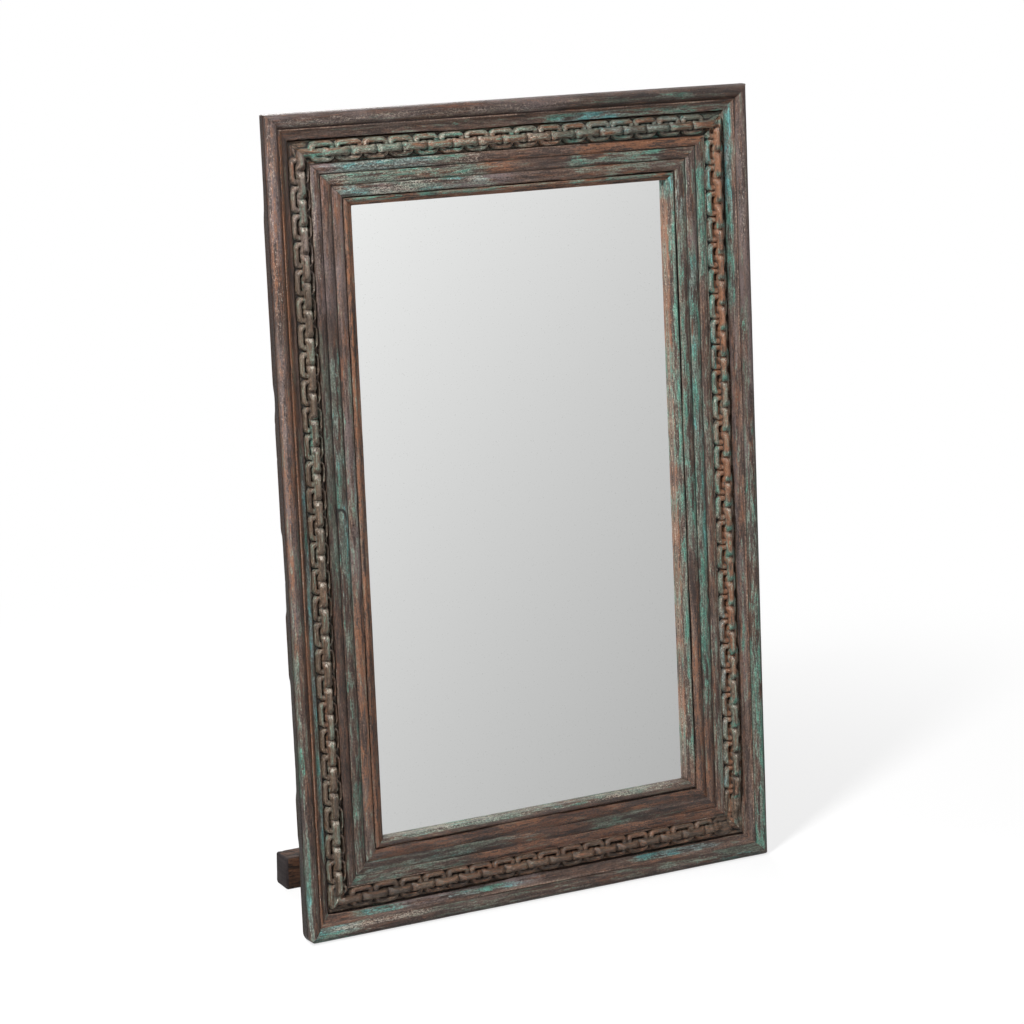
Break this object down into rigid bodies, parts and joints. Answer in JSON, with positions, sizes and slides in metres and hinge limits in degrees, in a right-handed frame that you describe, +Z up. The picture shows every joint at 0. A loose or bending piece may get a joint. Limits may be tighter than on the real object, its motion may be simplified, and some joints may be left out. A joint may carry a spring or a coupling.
{
  "type": "jharokha floor mirror",
  "caption": "Tall carved wooden floor mirror: mitred mouldings with a link chain in relief round a mirror, leaning back on a hinged rear stand that folds flat.",
  "frame": {"origin": "middle of the bounding box's bottom face, on the floor, with the stand opened", "axes": "+Z up, +X to the right as seen from the front, +Y from the mirror's face to the stand behind"},
  "size_m": [0.94, 0.312, 1.4149],
  "materials": {
    "painted_moulding": "distressed paint over carved hardwood, brown with worn teal patches, waxed",
    "painted_carving": "distressed paint in the carving, teal in the hollows, pale wear on the links",
    "painted_bands": "distressed teal and brown paint in long streaks, waxed",
    "painted_sight_bead": "worn pale paint with bare orange-brown wood on the inner side",
    "mirror": "clear silvered glass",
    "back_timber": "sawn, unpainted, dusty",
    "bare_strip": "planed, unpainted",
    "backing_board": "thin ply, rubbed with dark stain",
    "peg_wood": "end grain, oiled",
    "dark_timber": "dark, hand-hewn, pitted, with a purple-grey bloom on the end grain",
    "hinge_iron": "blackened iron, rubbed bright at the knuckles",
    "screw_steel": "dull steel"
  },
  "bodies": {
    "mirror_frame": {"back_rail_bottom": "back_timber", "back_rail_top": "back_timber", "back_stile_left": "back_timber", "back_stile_right": "back_timber", "backing_board": "backing_board", "backing_screws": "screw_steel", "chain_strip_bottom": "painted_carving", "chain_strip_left": "painted_carving", "chain_strip_right": "painted_carving", "chain_strip_top": "painted_carving", "corner_pegs": "peg_wood", "glazing_strip_bottom": "bare_strip", "glazing_strip_left": "bare_strip", "glazing_strip_right": "bare_strip", "glazing_strip_top": "bare_strip", "hinge_fixed_leaf_left": "hinge_iron", "hinge_fixed_leaf_right": "hinge_iron", "hinge_pin_left": "screw_steel", "hinge_pin_right": "screw_steel", "hinge_rail": "dark_timber", "hinge_rail_screws": "screw_steel", "hinge_screws_fixed": "screw_steel", "inner_moulding_bottom": "painted_bands", "inner_moulding_left": "painted_bands", "inner_moulding_right": "painted_bands", "inner_moulding_top": "painted_bands", "mirror_glass": "mirror", "moulding_screws": "screw_steel", "outer_moulding_bottom": "painted_moulding", "outer_moulding_left": "painted_moulding", "outer_moulding_right": "painted_moulding", "outer_moulding_top": "painted_moulding", "sight_bead_bottom": "painted_sight_bead", "sight_bead_left": "painted_sight_bead", "sight_bead_right": "painted_sight_bead", "sight_bead_top": "painted_sight_bead"},
    "stand": {"hinge_moving_leaf_left": "hinge_iron", "hinge_moving_leaf_right": "hinge_iron", "hinge_screws_moving": "screw_steel", "stand_foot": "dark_timber", "stand_leg_left": "dark_timber", "stand_leg_right": "dark_timber", "stand_pegs": "peg_wood", "stand_stretcher": "dark_timber"}
  },
  "joints": [
    {"name": "stand_hinge", "type": "hinge", "parent": "mirror_frame", "child": "stand", "pos_m": [0, -0.00425, 0.99074], "axis": [1, 0, 0], "range_deg": [-12, 0]}
  ]
}
